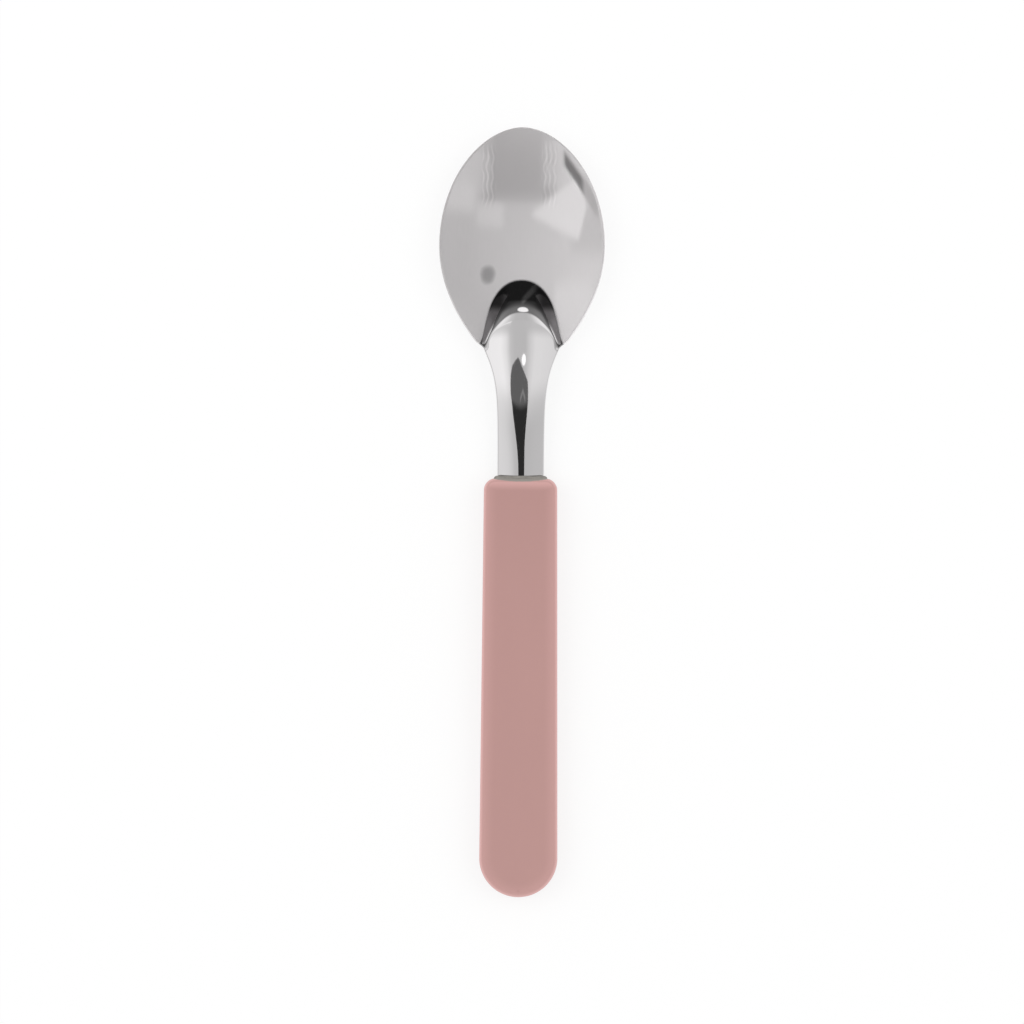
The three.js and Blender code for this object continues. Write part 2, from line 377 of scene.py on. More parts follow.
def bowl_shade(tree, scratches, cloud):
    """How dull and dark the bowl is: painted shade on its left, a painted dark spot and two ribbons of
    painted ripple reflections.
    """
    east, north, _ = tree.split(tree.place())
    # Painted shade: the left side of the bowl is darker; it is also rougher.
    dull = east.smooth(0.003, -0.012)
    # A painted reflection: a small dark spot in the bowl.
    spot_east, spot_north, half_width, half_length = -0.0063, 0.0439, 0.0014, 0.0018
    away = ((east - spot_east) / half_width) ** 2 + ((north - spot_north) / half_length) ** 2
    dark_reflection_spot = (away + (cloud - 0.5) * 2).smooth(1.5, 0)
    # Painted reflections: two ribbons of light and dark ripple lines in the bowl's colour.
    ripples_a_metre, sway_a_metre, sway, unevenness = 7500, 1700, 1.1, 14
    reflected_ripples = east * ripples_a_metre + (north * sway_a_metre).sine() * sway + cloud * unevenness
    reflected_ripples = reflected_ripples.sine().smooth(-0.2, 1) - 0.4
    ribbons = abs(east + 0.0062).smooth(0.0016, 0.0007) + abs(east - 0.005).smooth(0.0018, 0.0008)
    reflected_ripples = reflected_ripples * ribbons * north.smooth(0.0555, 0.0585) * north.smooth(0.0685, 0.066)
    marks = (scratches - 0.5) * 0.05 + (cloud - 0.5) * 0.005
    return dull, dull * 0.2 + dark_reflection_spot * 0.5 + marks + (0.4 - reflected_ripples) * 0.16


def steel_material(finishes):
    """Stainless steel: a mirror on the neck, painted shade on the step's wall, and a softer polish with
    painted shade in the bowl.
    """
    material, tree = new_material("stainless_steel")
    place = tree.place()
    east, north, _ = tree.split(place)
    step = tree.add("ShaderNodeAttribute", {"attribute_name": "step"}, take="Fac")
    scratches = tree.noise(place, (14000, 260, 14000), 3, 0.6)
    waves = tree.noise(place, (170, 60, 170), 1)
    cloud = tree.noise(place, (130, 130, 130), 3)
    height = scratches * 0.15 + waves * 0.5
    bump = tree.add("ShaderNodeBump", {}, {"Strength": 0.12, "Distance": 0.00002, "Height": height})

    def metal(base, roughness):
        sockets = {"Base Color": base, "Metallic": 1, "Roughness": roughness, "Normal": bump}
        return tree.add("ShaderNodeBsdfPrincipled", {}, sockets)

    marks = (scratches - 0.5) * 0.5 + 0.2 + (cloud - 0.5) * 0.05
    polished = tree.mix(marks, tuple(finishes.steel), shaded(finishes.steel, 0.9))
    mirror_base = painted_wall_shade(tree, finishes, polished, step, cloud)
    mirror = metal(mirror_base, (scratches - 0.5) * 0.03 + finishes.neck_roughness)
    dull, shade = bowl_shade(tree, scratches, cloud)
    # The bowl's colour takes its painted shade and painted reflections.
    soft_base = tree.mix(shade, shaded(finishes.soft_steel, 1.07), (0, 0, 0))
    soft = metal(soft_base, (scratches - 0.5) * 0.1 + dull * 0.1 + finishes.bowl_roughness)
    shine_slope, shine_north, shine_east = 1.43, 0.0759, 0.0094
    shine = abs(east * shine_slope + north - shine_north).smooth(0.0022, 0.0008)
    shine = shine * abs(east - shine_east).smooth(0.0024, 0.0012)
    soft_share = step.smooth(0.94, 1) * (1 - finishes.bowl_mirror - shine * 0.4)
    finish_material(tree, tree.add("ShaderNodeMixShader", {}, {0: soft_share, 1: mirror, 2: soft}))
    return material


def plastic_material(settings):
    """Dusty pink plastic with a fine moulded grain and painted highlights on its edges, and resin on the lip
    of its mouth.
    """
    finishes, handle = settings.finishes, settings.handle
    shape = HeadShape(settings.head, handle)
    material, tree = new_material("pink_plastic_satin")
    place = tree.place()
    east, north, up = tree.split(place)
    grain = tree.noise(place, (5200, 5200, 5200), 2)
    flow = tree.noise(place, (160, 40, 160), 3)
    base = tree.mix(flow, shaded(finishes.plastic, 0.975), shaded(finishes.plastic, 1.025))
    ahead = (north - shape.rear_y) / handle.length
    half = ahead * (handle.mouth_width - handle.end_width) / 2 + handle.end_width / 2
    behind = (north - (shape.rear_y + handle.end_width / 2)).at_most(0)
    from_side = half - (east**2 + behind**2) ** 0.5
    from_mouth = shape.mouth_y - north
    _, _, level = tree.split(tree.add("ShaderNodeTexCoord", take="Normal"))
    on_top = level.smooth(0.8, 0.95)
    # Painted highlight: the rounded edges, a band beside the sides and a line behind the mouth turn a lighter
    # pink.
    rim_gain = 2.6
    pale = ((1 - level) * rim_gain).at_most(1) * level.smooth(-0.05, 0.25)
    pale = pale.at_least(from_side.smooth(0.0028, 0) * on_top * 0.3)
    pale = pale.at_least(from_mouth.smooth(0.0024, 0.0007) * on_top * 0.65)
    base = tree.mix(pale, base, tuple(finishes.edge_highlight_plastic))
    resin_half_width, resin_depth, less_at_sides, waver, soft = 0.0052, 0.00058, 0.0005, 0.0002, 0.00006
    run = resin_depth - (east / resin_half_width) ** 2 * less_at_sides + (grain - 0.5) * waver
    on_lip = (run - from_mouth).smooth(-soft, soft) * up.smooth(0.0041, 0.0045)
    base = tree.mix(on_lip, base, tuple(finishes.resin))
    bump = tree.add("ShaderNodeBump", {}, {"Strength": 0.25, "Distance": 0.00003, "Height": grain})
    sockets = {
        "Base Color": base,
        "Roughness": (grain - 0.5) * 0.12 + (flow - 0.5) * 0.06 + finishes.plastic_roughness,
        "IOR": 1.5,
        "Normal": bump,
    }
    finish_material(tree, tree.add("ShaderNodeBsdfPrincipled", {}, sockets))
    return material


def resin_material(finishes):
    """Grey filling resin, dull and slightly uneven."""
    material, tree = new_material("grey_resin_matt")
    grain = tree.noise(tree.place(), (1500, 1500, 1500), 3)
    base = tree.mix(grain.smooth(0.3, 0.7), shaded(finishes.resin, 0.8), tuple(finishes.resin))
    bump = tree.add("ShaderNodeBump", {}, {"Strength": 0.4, "Distance": 0.0001, "Height": grain})
    sockets = {"Base Color": base, "Roughness": grain * 0.2 + 0.45, "Normal": bump}
    finish_material(tree, tree.add("ShaderNodeBsdfPrincipled", {}, sockets))
    return material


def clamp(value):
    return np.clip(value, 0, 1)


def ease(value):
    return clamp(value) ** 2 * (3 - 2 * clamp(value))


def blend(start, end, part):
    return start + (end - start) * part


class HeadShape:
    """The outline and the two surfaces of the steel head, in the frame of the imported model."""

    def __init__(self, sizes, handle):
        self.sizes = sizes
        self.rear_y = -(handle.length + sizes.neck_length + sizes.bowl_length) / 2
        self.mouth_y = self.rear_y + handle.length
        self.corner_y = self.mouth_y + sizes.neck_length
        self.tip_y = self.corner_y + sizes.bowl_length
        self.widest_y = self.tip_y - sizes.bowl_widest_from_tip
        self.lowest_y = self.corner_y + sizes.bowl_lowest_from_corners
        self.shoulder_y = self.mouth_y - sizes.shoulder_length
        self.tang_rear_y = self.mouth_y - sizes.tang_length
        self.tang_top = (handle.thickness + sizes.sheet_thickness) / 2
        self.mouth_ridge = self.tang_top + sizes.arch_over_tang
        self.climb = 2 / (1 + sizes.straight_share) * sizes.neck_rise / sizes.crest_from_mouth

    def bowl_half(self, y):
        """Half the width of the bowl: a parabola up to the widest row, then a rounded tip."""
        sizes = self.sizes
        widest = sizes.bowl_width / 2
        back = (self.widest_y - y) / (self.widest_y - self.corner_y)
        ahead = clamp((y - self.widest_y) / sizes.bowl_widest_from_tip)
        rear = widest - (widest - sizes.bowl_corner_width / 2) * back**2
        return np.where(y < self.widest_y, rear, widest * (1 - ahead**2) ** sizes.tip_roundness)

    def neck_half(self, y):
        """Half the width of the neck, which flares out in front, and of the tang behind the shoulder."""
        sizes = self.sizes
        bend = ease((y - self.shoulder_y) / sizes.shoulder_length)
        shoulder = blend(sizes.tang_width, sizes.neck_width, bend) / 2
        back = np.maximum(0, self.corner_y - y) / sizes.flare_length
        neck = blend(sizes.neck_width, sizes.neck_root_width, np.exp(-(back**sizes.flare_sharpness))) / 2
        return np.where(y < self.mouth_y, shoulder, neck)

    def half(self, y):
        """Half the width of the whole head."""
        part = ease((y - self.corner_y) / self.sizes.corner_run + 0.5)
        return blend(self.neck_half(y), self.bowl_half(y), part)

    def ridge(self, y):
        """Height of the ridge: level in the tang, a bend in the shoulder, a straight climb, a round crest."""
        sizes = self.sizes
        along = (y - self.shoulder_y) / sizes.shoulder_length
        bend = self.climb * sizes.shoulder_length * (along**3 - along**2)
        shoulder = blend(self.tang_top, self.mouth_ridge, ease(along)) + bend
        straight = sizes.crest_from_mouth * sizes.straight_share
        past = np.maximum(0, y - self.mouth_y - straight)
        climb = y - self.mouth_y - past**2 / (2 * (sizes.crest_from_mouth - straight))
        neck = self.mouth_ridge + self.climb * climb
        return np.where(y <= self.shoulder_y, self.tang_top, np.where(y < self.mouth_y, shoulder, neck))

    def neck_top(self, x, y):
        """Two flanks that fall away from a rounded ridge. Both soften towards the crest."""
        sizes = self.sizes
        part = clamp((y - self.mouth_y) / sizes.crest_from_mouth) ** 2
        arch = ease((y - self.shoulder_y) / sizes.shoulder_length)
        slope = arch * blend(sizes.mouth_slope, sizes.crest_slope, part)
        radius = blend(sizes.mouth_radius, sizes.crest_radius, part)
        return self.ridge(y) - slope * (np.hypot(x, radius) - radius)

    def bowl_top(self, x, y):
        """A parabola across and a cubic along."""
        sizes = self.sizes
        tip_bend = sizes.bowl_tip_rise / (sizes.bowl_length - sizes.bowl_lowest_from_corners) ** 2
        corner_bend = sizes.bowl_corner_rise / sizes.bowl_lowest_from_corners**2
        along = y - self.lowest_y
        lopsided = (tip_bend - corner_bend) / sizes.bowl_length
        bend = corner_bend + lopsided * (along + sizes.bowl_lowest_from_corners)
        across = sizes.bowl_side_rise * (x / (sizes.bowl_width / 2)) ** 2
        return sizes.sheet_thickness + across + bend * along**2

    def step(self, x, y):
        """How far down the step a point is, from 0 on the tongue to 1 at the foot."""
        sizes = self.sizes
        ahead = np.maximum(0, y - self.corner_y)
        power = sizes.foot_squareness
        foot_half = sizes.foot_width / 2 + sizes.foot_flare * np.exp(-ahead / sizes.foot_flare_run)
        on_tongue = np.hypot(x / (sizes.tongue_width / 2), ahead / sizes.tongue_length)
        on_foot = ((abs(x) / foot_half) ** power + (ahead / sizes.foot_length) ** power) ** (1 / power)
        apart = np.where((on_tongue > 1) & (on_foot < 1), on_tongue - on_foot, 1)
        between = np.where(on_foot >= 1, 1, on_foot * (on_tongue - 1) / apart)
        fade = ease((y - self.corner_y) / sizes.corner_fall + 1)
        return np.where(on_tongue <= 1, 0, between) * fade

    def fall(self, step):
        """The fall of the step: it steepens over the crest, runs straight, and levels out in a tight foot."""
        crest, foot = self.sizes.crest_round, self.sizes.foot_round
        steepest = 1 / (1 - (crest + foot) / 2)
        left = np.maximum(0, step - 1 + foot)
        lower = steepest * (step - crest / 2 - left**2 / (2 * foot))
        return np.where(step < crest, steepest * step**2 / (2 * crest), lower)

    def top(self, x, y):
        return blend(self.neck_top(x, y), self.bowl_top(x, y), self.fall(self.step(x, y)))

    def bottom(self, x, y):
        """One sheet thickness below the top, measured square to the mean slope nearby."""
        thickness = self.sizes.sheet_thickness
        reach = thickness / 2
        fall_x = self.top(x + reach, y) - self.top(x - reach, y)
        fall_y = self.top(x, y + reach) - self.top(x, y - reach)
        sloped = np.sqrt(thickness**2 + fall_x**2 + fall_y**2)
        return self.top(x, y) - np.where(y <= self.shoulder_y, thickness, sloped)

    def section(self, edge, normal, columns, rim):
        """One closed row of the head: its top, right edge, bottom and left edge. It returns points."""
        half, y = edge
        across = np.linspace(-half, half, columns + 1)
        level = np.full_like(across, y)
        top = np.column_stack([across, level, self.top(across, level)])
        bottom = np.column_stack([across, level, self.bottom(across, level)])[::-1]
        turn = np.linspace(0, math.pi, rim + 2)[1:-1]
        reach = self.sizes.rim_radius * np.sin(turn)
        high, low = top[-1, 2], bottom[0, 2]
        heights = (high + low) / 2 + (high - low) / 2 * np.cos(turn)
        right = np.column_stack([half + normal[0] * reach, y + normal[1] * reach, heights])
        left = right[::-1] * (-1, 1, 1)
        return np.vstack([top, right, bottom, left])


def quads_between(rows, count, first=0):
    """The faces that join closed rows of points, each to the next, from the point called first."""
    faces = []
    for row in range(rows - 1):
        here, ahead = first + row * count, first + (row + 1) * count
        for place in range(count):
            following = (place + 1) % count
            faces.append([here + place, here + following, ahead + following, ahead + place])
    return faces


def head_mesh(shape, columns=112, rim=7):
    """A closed mesh of the head: rows across it, from the end of the tang to one point at the tip."""
    sizes = shape.sizes
    flare_y = shape.corner_y - 2 * sizes.flare_length
    behind_step, past_step = 0.0015, 0.0007
    step_rear = shape.corner_y - behind_step
    step_front = shape.corner_y + sizes.foot_length + past_step
    # Where each stretch of rows starts, and how many rows it has.
    stretches = (
        (shape.tang_rear_y, 8),
        (shape.shoulder_y, 18),
        (shape.mouth_y, 34),
        (flare_y, 24),
        (step_rear, 124),
        (step_front, 14),
        (shape.widest_y, 66),
    )
    places = [
        np.linspace(start, end, rows, endpoint=False)
        for (start, rows), (end, _) in zip(stretches, stretches[1:])
    ]
    turns = np.linspace(0, math.pi / 2, stretches[-1][1])
    places = np.concatenate([*places, shape.widest_y + sizes.bowl_widest_from_tip * np.sin(turns)])
    outline = np.column_stack([shape.half(places), places])
    outline[-1] = (0, shape.tip_y)
    along = np.gradient(outline, axis=0)
    normals = np.column_stack([along[:, 1], -along[:, 0]]) / np.hypot(*along.T)[:, None]
    normals[0] = (1, 0)
    normals[-1] = (0, 1)
    inset = outline - sizes.rim_radius * normals
    rows = [shape.section(edge, normal, columns, rim) for edge, normal in zip(inset[:-1], normals[:-1])]
    count = len(rows[0])
    faces = [list(range(count))[::-1], *quads_between(len(rows), count)]
    tip = shape.section((0, inset[-1, 1]), normals[-1], 0, rim)
    points = np.vstack([*rows, tip[: rim + 2]])
    last, first_tip = (len(rows) - 1) * count, len(rows) * count
    top_end, side_end = columns + 1, columns + 1 + rim
    bottom_end = side_end + columns + 1

    def tip_point(place):
        if place < top_end:
            return first_tip
        if place < side_end:
            return first_tip + 1 + place - top_end
        if place < bottom_end:
            return first_tip + 1 + rim
        return first_tip + rim - (place - bottom_end)

    for place in range(count):
        following = (place + 1) % count
        ring = [last + place, last + following, tip_point(following), tip_point(place)]
        faces.append(ring[:3] if ring[2] == ring[3] else ring)
    return points, faces


def make_object(name, points, faces, material, smooth=True):
    """An object at the origin from points and faces."""
    mesh = bpy.data.meshes.new(name)
    mesh.from_pydata([tuple(point) for point in points], [], faces)
    if mesh.validate():
        raise RuntimeError(f"The mesh of {name} has faults.")
    mesh.polygons.foreach_set("use_smooth", [smooth] * len(mesh.polygons))
    mesh.materials.append(material)
    piece = bpy.data.objects.new(name, mesh)
    bpy.context.scene.collection.objects.link(piece)
    return piece


def declare(piece, node):
    """Hides the imported part that the piece stands for, and hangs the piece on the root body."""
    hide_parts(node)
    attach(piece, "root")


class TEASPOON_OT_head(bpy.types.Operator):
    """Build the stamped steel head with its tang, arched neck, step and bowl"""

    bl_idname = "teaspoon.head"
    bl_label = "Build the steel head"

    def execute(self, context):
        settings = context.scene.teaspoon
        shape = HeadShape(settings.head, settings.handle)
        points, faces = head_mesh(shape)
        piece = make_object("steel_head", points, faces, steel_material(settings.finishes))
        steps = shape.step(points[:, 0], points[:, 1])
        piece.data.attributes.new("step", "FLOAT", "POINT").data.foreach_set("value", steps)
        declare(piece, "spoon_head")
        return {"FINISHED"}


HANDLE_INPUTS = ("Rear end", "Mouth", "Mouth width", "End width", "Thickness", "Corner radius", "Edge radius")
SLOT_INPUTS = ("Slot width", "Slot rear", "Slot bottom", "Slot top")


def handle_tree():
    """Sweeps a rounded edge round the handle's outline, fills both faces, and cuts the slot."""
    group = bpy.data.node_groups.new("moulded_handle", "GeometryNodeTree")
    for name in HANDLE_INPUTS + SLOT_INPUTS:
        item = group.interface.new_socket(name=name, in_out="INPUT", socket_type="NodeSocketFloat")
        item.subtype = "DISTANCE"
    group.interface.new_socket(name="Material", in_out="INPUT", socket_type="NodeSocketMaterial")
    group.interface.new_socket(name="Geometry", in_out="OUTPUT", socket_type="NodeSocketGeometry")
    tree = Tree(group)
    handle_inputs = tree.add("NodeGroupInput", take=HANDLE_INPUTS)
    rear, mouth, mouth_width, end_width, thickness, corner, edge = handle_inputs
    slot_width, slot_rear, slot_bottom, slot_top = tree.add("NodeGroupInput", take=SLOT_INPUTS)
    material = tree.add("NodeGroupInput", take="Material")
    overlap, weld, overrun, sharp_angle = 1.25, 0.000002, 0.002, 0.6
    corner_steps, edge_steps = 40, 10

    def vector(x, y, z=0):
        return tree.add("ShaderNodeCombineXYZ", {}, {"X": x, "Y": y, "Z": z})

    def corners(*points):
        sockets = {f"Point {place + 1}": point for place, point in enumerate(points)}
        return tree.add("GeometryNodeCurvePrimitiveQuadrilateral", {"mode": "POINTS"}, sockets)

    quad = corners(
        vector(end_width / -2, rear),
        vector(end_width / 2, rear),
        vector(mouth_width / 2, mouth),
        vector(mouth_width / -2, mouth),
    )
    _, y, z = tree.split(tree.add("GeometryNodeInputPosition"))
    at_rear = y < (rear + mouth) / 2
    radius = corner + (end_width / 2 - corner) * at_rear
    sockets = {"Curve": quad, "Count": corner_steps, "Radius": radius, "Limit Radius": True}
    outline = tree.add("GeometryNodeFilletCurve", {"mode": "POLY"}, sockets)
    upright = tree.add("GeometryNodeSetCurveNormal", {"mode": "Z_UP"}, {"Curve": outline})
    inner = edge * -overlap
    section = corners(
        vector(inner, thickness / 2),
        vector(0, thickness / 2),
        vector(0, thickness / -2),
        vector(inner, thickness / -2),
    )
    opened = tree.add("GeometryNodeSetSplineCyclic", {}, {"Geometry": section, "Cyclic": False})
    sockets = {"Curve": opened, "Count": edge_steps, "Radius": edge}
    profile = tree.add("GeometryNodeFilletCurve", {"mode": "POLY"}, sockets)
    wall = tree.add("GeometryNodeCurveToMesh", {}, {"Curve": upright, "Profile Curve": profile})
    open_edges = tree.add("GeometryNodeInputMeshEdgeNeighbors") < 1.5

    def moved(geometry, *way):
        sockets = {"Geometry": geometry, "Translation": vector(*way)}
        return tree.add("GeometryNodeTransform", {}, sockets)

    def cover(over):
        """The flat face over or under the handle."""
        side = 1 - (z < 0) if over else z < 0
        loop = tree.add("GeometryNodeMeshToCurve", {}, {"Mesh": wall, "Selection": open_edges * side})
        filled = tree.add("GeometryNodeFillCurve", {"mode": "NGONS"}, {"Curve": loop})
        return moved(filled, 0, 0, thickness / (2 if over else -2))

    bottom = tree.add("GeometryNodeFlipFaces", {}, {"Mesh": cover(False)})
    joined = tree.add("GeometryNodeJoinGeometry", {}, {"Geometry": [wall, cover(True), bottom]})
    merged = tree.add("GeometryNodeMergeByDistance", {}, {"Geometry": joined, "Distance": weld})
    front = mouth + overrun
    size = vector(slot_width, front - slot_rear, slot_top - slot_bottom)
    block = tree.add("GeometryNodeMeshCube", {}, {"Size": size})
    slot = moved(block, 0, (front + slot_rear) / 2, (slot_top + slot_bottom) / 2)
    sockets = {"Mesh 1": moved(merged, 0, 0, thickness / 2), "Mesh 2": slot}
    cut = tree.add("GeometryNodeMeshBoolean", {"operation": "DIFFERENCE", "solver": "EXACT"}, sockets)
    sockets = {"Geometry": cut, "Shade Smooth": True}
    rounded = tree.add("GeometryNodeSetShadeSmooth", {"domain": "FACE"}, sockets)
    sharp = 1 - (tree.add("GeometryNodeInputMeshEdgeAngle") < sharp_angle)
    sockets = {"Geometry": rounded, "Selection": sharp, "Shade Smooth": False}
    shaded_mesh = tree.add("GeometryNodeSetShadeSmooth", {"domain": "EDGE"}, sockets)
    realized = tree.add("GeometryNodeRealizeInstances", {}, {"Geometry": shaded_mesh})
    finished = tree.add("GeometryNodeSetMaterial", {}, {"Geometry": realized, "Material": material})
    tree.add("NodeGroupOutput", {}, {"Geometry": finished})
    return group


def grown_mesh(name, group, values):
    """The plain mesh that the tree grows from the values of its inputs."""
    start = bpy.data.objects.new(name, bpy.data.meshes.new(name))
    bpy.context.scene.collection.objects.link(start)
    modifier = start.modifiers.new("shape", "NODES")
    modifier.node_group = group
    for item in group.interface.items_tree:
        if item.in_out == "INPUT":
            modifier[item.identifier] = values[item.name]
    graph = bpy.context.evaluated_depsgraph_get()
    mesh = bpy.data.meshes.new_from_object(start.evaluated_get(graph), depsgraph=graph)
    start.modifiers.remove(modifier)
    start.data = mesh
    return start


def slot_box(settings):
    """Half width, rear, bottom and top of the slot in the handle."""
    handle = settings.handle
    shape = HeadShape(settings.head, handle)
    low = float(shape.bottom(np.array(settings.head.neck_width / 2), np.array(shape.mouth_y)))
    return (
        settings.head.neck_width / 2 + handle.slot_clearance,
        shape.tang_rear_y - handle.slot_end_clearance,
        low - handle.slot_clearance,
        shape.mouth_ridge + handle.slot_clearance,
    )


class TEASPOON_OT_handle(bpy.types.Operator):
    """Build the moulded handle with its slot for the tang"""

    bl_idname = "teaspoon.handle"
    bl_label = "Build the handle"

    def execute(self, context):
        settings = context.scene.teaspoon
        handle = settings.handle
        shape = HeadShape(settings.head, handle)
        slot_half, slot_rear, slot_bottom, slot_top = slot_box(settings)
        values = {
            "Rear end": shape.rear_y,
            "Mouth": shape.mouth_y,
            "Mouth width": handle.mouth_width,
            "End width": handle.end_width,
            "Thickness": handle.thickness,
            "Corner radius": handle.corner_radius,
            "Edge radius": handle.edge_radius,
            "Slot width": 2 * slot_half,
            "Slot rear": slot_rear,
            "Slot bottom": slot_bottom,
            "Slot top": slot_top,
            "Material": plastic_material(settings),
        }
        piece = grown_mesh("pink_handle", handle_tree(), values)
        if not piece.data.polygons:
            raise RuntimeError("The handle's tree made no handle.")
        declare(piece, "handle")
        return {"FINISHED"}


class TEASPOON_OT_resin(bpy.types.Operator):
    """Build the resin that fills the slot round the tang and shows as a bead at the mouth"""

    bl_idname = "teaspoon.resin"
    bl_label = "Build the resin"

    def execute(self, context):
        settings = context.scene.teaspoon
        shape = HeadShape(settings.head, settings.handle)
        slot_half, slot_rear, slot_bottom, slot_top = slot_box(settings)
        columns, rim, bead_rings, shoulder_rings = 40, 7, 7, 17
        gap, lip = 0.00001, 0.0006

        def inner(y):
            """A ring that hugs the steel."""
            half = float(shape.half(np.array(y))) - settings.head.rim_radius
            ring = shape.section((half, y), (1, 0), columns, rim)
            middle = ring.mean(axis=0)
            outwards = ring - middle
            outwards[:, 1] = 0
            return ring + gap * outwards / np.linalg.norm(outwards, axis=1)[:, None]

        def outer(y):
            """A ring just inside the slot."""
            half, low, high = slot_half - gap, slot_bottom + gap, slot_top - gap
            across = np.linspace(-half, half, columns + 1)
            top = np.column_stack([across, np.full_like(across, y), np.full_like(across, high)])
            bottom = (top * (1, 1, 0) + (0, 0, low))[::-1]
            heights = np.linspace(high, low, rim + 2)[1:-1]
            right = np.column_stack([np.full(rim, half), np.full(rim, y), heights])
            return np.vstack([top, right, bottom, right[::-1] * (-1, 1, 1)])

        bead = settings.handle.bead_length
        rings = [outer(slot_rear + gap), outer(shape.mouth_y - lip)]
        edge, collar = outer(shape.mouth_y), inner(shape.mouth_y + bead)
        for turn in np.linspace(0, math.pi / 2, bead_rings):
            ring = blend(edge, collar, 1 - math.cos(turn))
            ring[:, 1] = shape.mouth_y + bead * math.sin(turn)
            rings.append(ring)
        for y in np.linspace(shape.mouth_y, shape.shoulder_y, shoulder_rings):
            rings.append(inner(y))
        rings.append(inner(shape.tang_rear_y - gap))
        count = len(rings[0])
        last = (len(rings) - 1) * count
        faces = [list(range(count))[::-1], *quads_between(len(rings), count), list(range(last, last + count))]
        material = resin_material(settings.finishes)
        piece = make_object("grey_resin_filling", np.vstack(rings), faces, material)
        declare(piece, "tang_resin")
        return {"FINISHED"}


def dome_material():
    """The studio that the steel mirrors: windows on both sides, dark cards by the camera and in front.

    A direction is given by the slope of the steel that mirrors it: across to the right, along to the front.
    """
    material, tree = glowing_material("studio_walls")
    direction = tree.add("ShaderNodeVectorMath", {"operation": "NORMALIZE"}, {0: tree.place()}, "Vector")
    east, north, up = tree.split(direction)
    across, along = east / (up + 1.001), north / (up + 1.001)
    reach = 1.3

    def window(left, right, rear, front, soft):
        sides = across.smooth(left - soft, left + soft) * across.smooth(right + soft, right - soft)
        return sides * along.smooth(rear - soft, rear + soft) * along.smooth(front + soft, front - soft)

    def over(slope, height):
        """1 on the front side of a slanted line and 0 behind it."""
        soft = 0.014
        return (along - across * slope - height).smooth(-soft, soft)

    middle = tree.levels(
        across, reach, (-1.15, 0.2), (-0.9, 0.45), (-0.7, 0.62), (-0.6, 0.76), (-0.5, 0.8), (-0.4, 0.79),
        (-0.28, 0.75), (-0.2, 0.65), (-0.14, 0.62), (0, 0.61), (0.14, 0.63), (0.2, 0.66), (0.3, 0.66),
        (0.4, 0.69), (0.5, 0.56), (0.6, 0.45), (0.7, 0.4), (0.9, 0.24), (1.15, 0.16),
    )
    ahead = tree.levels(
        across, reach, (-1.15, 0.25), (-0.9, 0.43), (-0.7, 0.48), (-0.6, 0.7), (-0.5, 0.98), (-0.4, 1.04),
        (-0.3, 0.9), (-0.22, 0.7), (-0.12, 0.6), (0.1, 0.585), (0.2, 0.65), (0.3, 0.85), (0.4, 1),
        (0.5, 1.02), (0.6, 0.8), (0.7, 0.45), (0.9, 0.24), (1.15, 0.16),
    )
    behind = tree.levels(
        across, reach, (-1.15, 0.3), (-0.8, 0.6), (-0.45, 0.75), (-0.36, 0.66), (-0.3, 0.76), (-0.22, 0.76),
        (-0.18, 0.52), (-0.15, 0.27), (-0.12, 0.22), (0.13, 0.25), (0.17, 0.3), (0.2, 0.46), (0.24, 0.72),
        (0.3, 0.88), (0.45, 0.85), (1, 0.4),
    )
    far_ahead = tree.levels(
        across, reach, (-0.9, 0.2), (-0.6, 0.28), (-0.35, 0.2), (0.3, 0.2), (0.6, 0.28), (0.9, 0.2)
    )
    panel = (1 - over(-0.245, -0.052)) * over(-1.258, -0.485) * over(0.397, -0.026) * (1 - over(1.77, 0.541))
    blinds_across, sway_along = 290, 60
    blinds = (across * blinds_across + (along * sway_along).sine()).sine() * 0.5 + 0.5
    blinds = blinds * (window(-0.19, -0.105, -0.26, -0.12, 0.01) + window(0.167, 0.24, -0.22, -0.1, 0.01))
    bar = along + across * 0.905 + 0.405
    bar = bar.smooth(-0.034, -0.02) * bar.smooth(0.034, 0.02) * window(-0.4, -0.215, -0.25, -0.03, 0.012)
    lamp = ((abs(across - 0.04) / 0.15) ** 2 + (abs(along - 0.44) / 0.07) ** 2).smooth(1.35, 0.65)
    layers = (
        (window(-0.5, -0.25, -0.065, 0.045, 0.025), 0.46),  # a dim patch on the left
        (along.smooth(0.1, 0.15), ahead),
        (window(-0.36, -0.17, 0.09, 0.14, 0.016), 0.96),  # a bright sill in front of it
        (along.smooth(-0.06, -0.09), behind),
        (along.smooth(-0.31, -0.38), 1.2),  # the bright wall at the back
        (panel * window(-0.335, -0.05, -0.2, 0.02, 0.008), 1.13),  # the slanted window on the left
        (window(0.1, 0.24, -0.068, -0.012, 0.016), 0.9),  # two small windows on the right
        (window(0.25, 0.42, -0.125, -0.045, 0.025), 1),
        (blinds, 0.8),
        (window(-0.1, 0.15, -0.31, -0.1, 0.01), 0.14),  # the dark card by the camera
        (bar, 0.04),
        (along.smooth(0.32, 0.38), far_ahead),
        (along.smooth(0.5, 0.58), 0.17),
        (along.smooth(0.66, 0.73) * abs(across).smooth(0.72, 0.6), 0.06),  # the dark floor in front
        (lamp, 1.15),
    )
    level = middle
    for mask, tone in layers:
        level = level + (tone - level) * mask
    finish_material(tree, tree.glow(level))
    return material


def floor_material():
    """White paper that stays white to the eye and to mirrors, and still takes the spoon's shadow."""
    material, tree = glowing_material("white_paper")
    white, glow_strength, glow_share = 0.9, 1.04, 0.75
    paper = tree.add("ShaderNodeBsdfDiffuse", {}, {"Color": (white, white, white, 1)})
    glow = tree.add("ShaderNodeEmission", {}, {"Color": (1, 1, 1, 1), "Strength": glow_strength})
    sockets = {0: seen_directly(tree) * glow_share, 1: paper, 2: glow}
    finish_material(tree, tree.add("ShaderNodeMixShader", {}, sockets))
    return material


